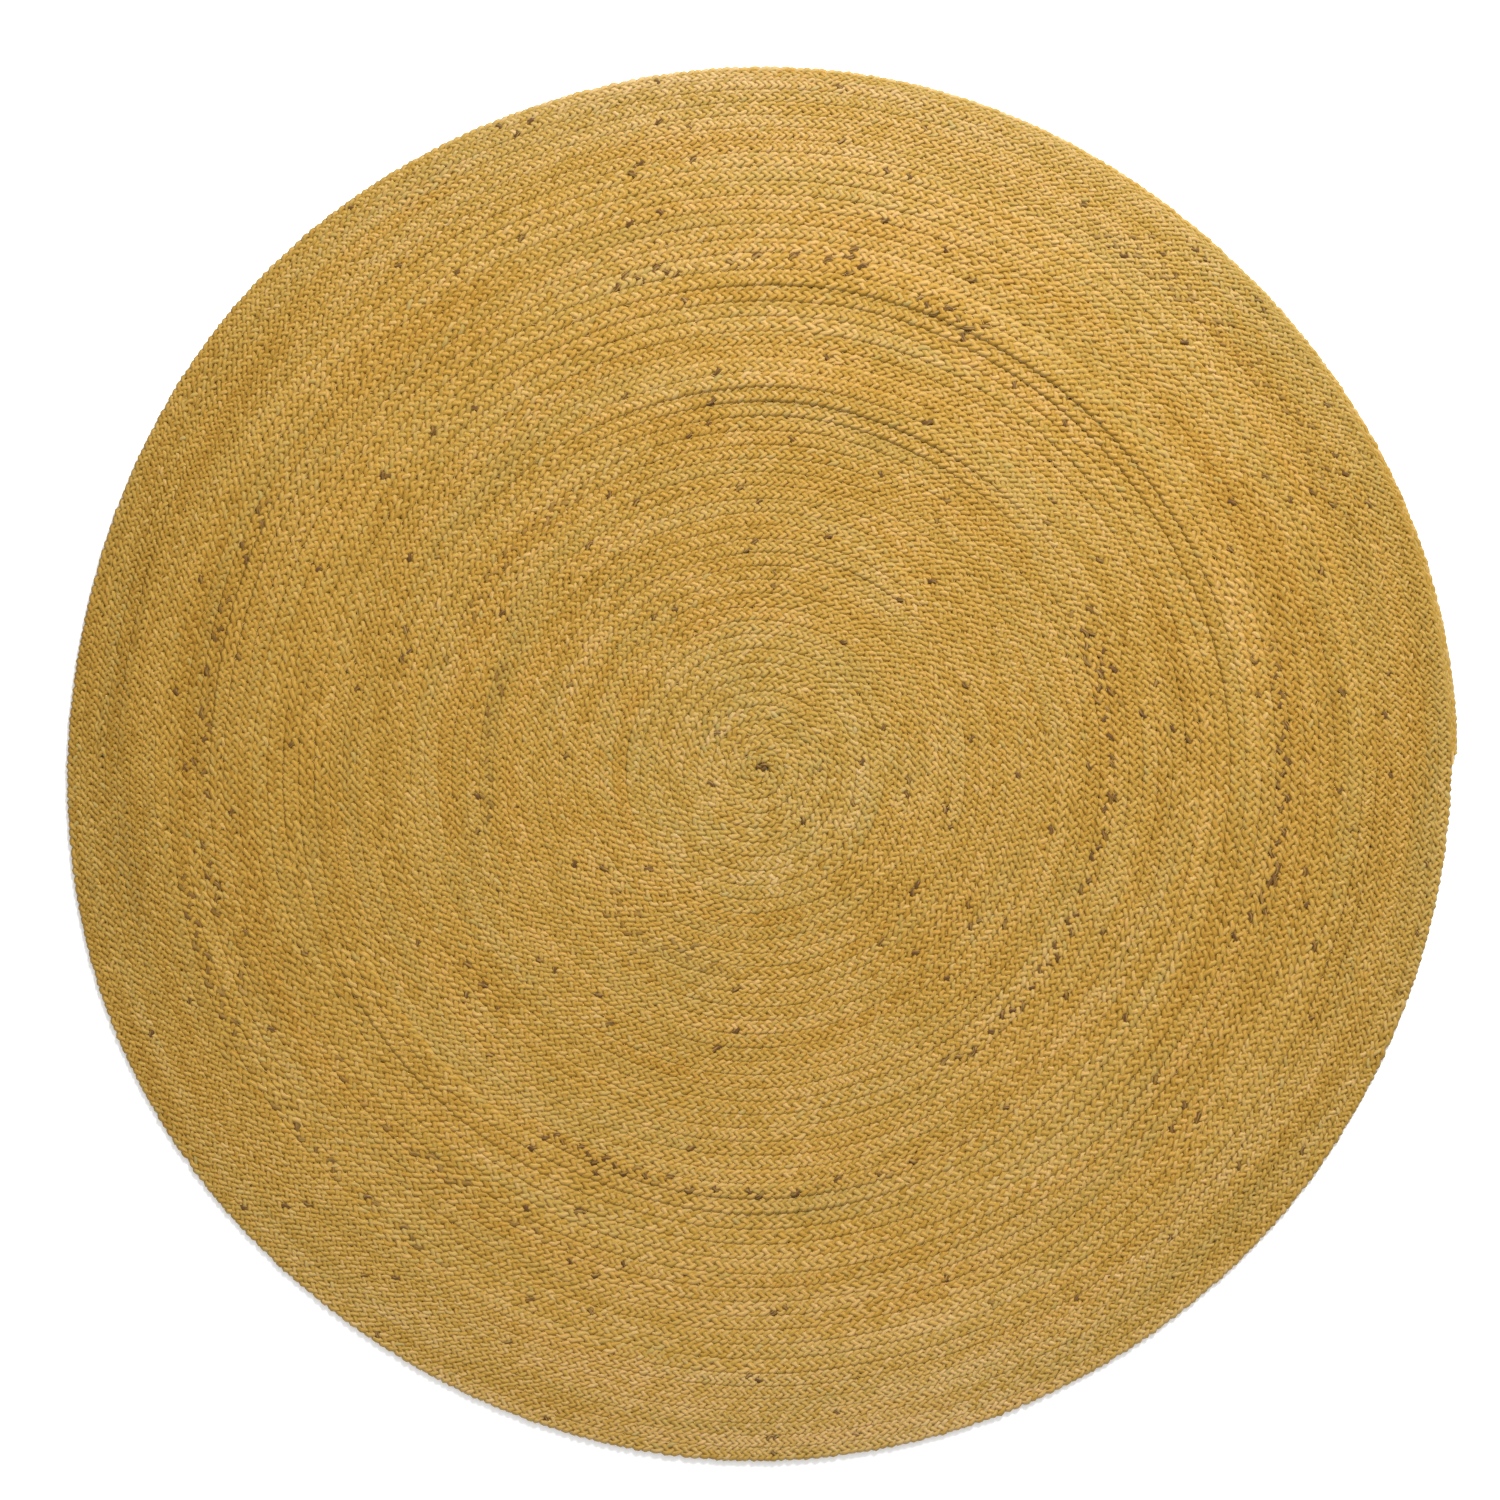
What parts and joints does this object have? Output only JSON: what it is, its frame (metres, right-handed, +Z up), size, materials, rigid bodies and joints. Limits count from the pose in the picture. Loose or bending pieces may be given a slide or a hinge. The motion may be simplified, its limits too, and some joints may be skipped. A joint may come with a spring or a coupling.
{
  "type": "area rug",
  "caption": "Round area rug made of a flat plaited jute braid wound in a spiral and sewn edge to edge, lying flat.",
  "frame": {"origin": "centre of the round underside, on the floor", "axes": "+Z up through the thickness; the rug lies in XY, and the braid runs out clockwise seen from above and ends at the +X edge"},
  "size_m": [1.4988, 1.4967, 0.007],
  "materials": {
    "braid_grey": "matte jute plait, a little greener and greyer",
    "braid_gold": "matte jute plait, golden",
    "braid_deep": "matte jute plait, slightly darker",
    "knot_jute": "matte knotted jute strands",
    "thread": "matte twisted sewing thread"
  },
  "bodies": {
    "root": {"start_knot": "knot_jute", "braid_01": "braid_grey", "braid_02": "braid_gold", "braid_03": "braid_deep", "braid_04": "braid_gold", "braid_05": "braid_deep", "braid_06": "braid_gold", "braid_07": "braid_deep", "braid_08": "braid_gold", "braid_09": "braid_grey", "braid_10": "braid_grey", "needle_thread_01": "thread", "needle_thread_02": "thread", "needle_thread_03": "thread", "needle_thread_04": "thread", "needle_thread_05": "thread", "needle_thread_06": "thread", "needle_thread_07": "thread", "needle_thread_08": "thread", "needle_thread_09": "thread", "needle_thread_10": "thread", "bobbin_thread_01": "thread", "bobbin_thread_02": "thread", "bobbin_thread_03": "thread", "bobbin_thread_04": "thread", "bobbin_thread_05": "thread", "bobbin_thread_06": "thread", "bobbin_thread_07": "thread", "bobbin_thread_08": "thread", "bobbin_thread_09": "thread", "bobbin_thread_10": "thread", "tail_binding": "thread"}
  },
  "joints": []
}
